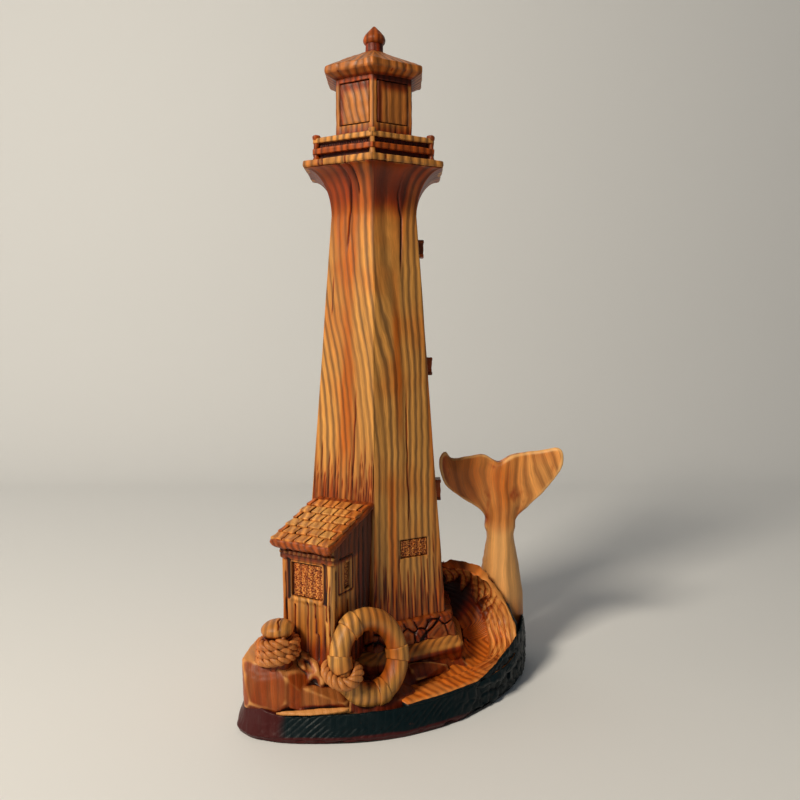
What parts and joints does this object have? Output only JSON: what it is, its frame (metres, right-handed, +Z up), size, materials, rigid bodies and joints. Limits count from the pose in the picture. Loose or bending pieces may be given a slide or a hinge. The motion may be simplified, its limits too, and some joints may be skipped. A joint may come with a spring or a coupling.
{
  "type": "souvenir lighthouse ornament",
  "caption": "Tabletop wood-effect resin lighthouse with a cottage, life ring, rope bollard, breaking wave and whale's tail on an oval rock base.",
  "frame": {"origin": "on the resting plane under the felt pad, at the tower's axis", "axes": "+Z up; -Y towards the front corner of the hexagonal tower; +X to the right, where the wave and the whale's tail are"},
  "size_m": [0.1477, 0.1271, 0.3],
  "materials": {
    "carved_wood_effect": "cast resin painted as pine with a carved, brown-washed grain and a satin lacquer",
    "shaded_wood_effect": "cast resin, darker brown wash in recesses, satin lacquer",
    "shingle_wood_effect": "cast resin shingles, light tan with brown wash in the gaps, satin lacquer",
    "stone_effect": "cast resin stones in red-brown with dark joints, satin lacquer",
    "rock_effect": "cast resin rock, chipped facets in red-brown with worn light edges, satin lacquer",
    "rope_effect": "cast resin moulded as twisted rope, satin lacquer",
    "wave_effect": "cast resin wave with carved flutes and wood grain, satin lacquer",
    "tail_effect": "cast resin whale's tail with long wood grain, satin lacquer",
    "sea_dark_paint": "dark blue-green and maroon paint over carved grooves, satin",
    "felt": "short-pile felt"
  },
  "bodies": {
    "root": {"felt_pad": "felt", "base_skirt": "sea_dark_paint", "footing_ledge": "carved_wood_effect", "rock_bed": "rock_effect", "rear_rocks": "rock_effect", "front_rock": "rock_effect", "footing_core": "stone_effect", "footing_stones": "stone_effect", "tower_shaft": "carved_wood_effect", "tower_window_pane": "shaded_wood_effect", "side_window_frames": "carved_wood_effect", "side_window_panes": "shaded_wood_effect", "gallery_deck": "carved_wood_effect", "gallery_posts": "carved_wood_effect", "gallery_rail_mid": "carved_wood_effect", "gallery_rail_top": "carved_wood_effect", "gallery_parapet": "shaded_wood_effect", "lantern_room": "carved_wood_effect", "lantern_panels": "carved_wood_effect", "lantern_roof": "carved_wood_effect", "finial_stem": "carved_wood_effect", "finial_ball": "shaded_wood_effect", "annex_walls": "carved_wood_effect", "annex_window_pane": "shaded_wood_effect", "annex_side_window": "carved_wood_effect", "annex_roof": "shaded_wood_effect", "annex_fascia": "shaded_wood_effect", "annex_shingles": "shingle_wood_effect", "life_ring": "carved_wood_effect", "ring_bands": "carved_wood_effect", "ring_rope": "rope_effect", "bollard_post": "shaded_wood_effect", "bollard_rope": "rope_effect", "bollard_cap": "carved_wood_effect", "wave_bank": "wave_effect", "wave_tongue": "wave_effect", "wave_wall": "wave_effect", "wave_crest": "wave_effect", "whale_tail_stem": "tail_effect", "whale_flukes": "tail_effect"}
  },
  "joints": []
}
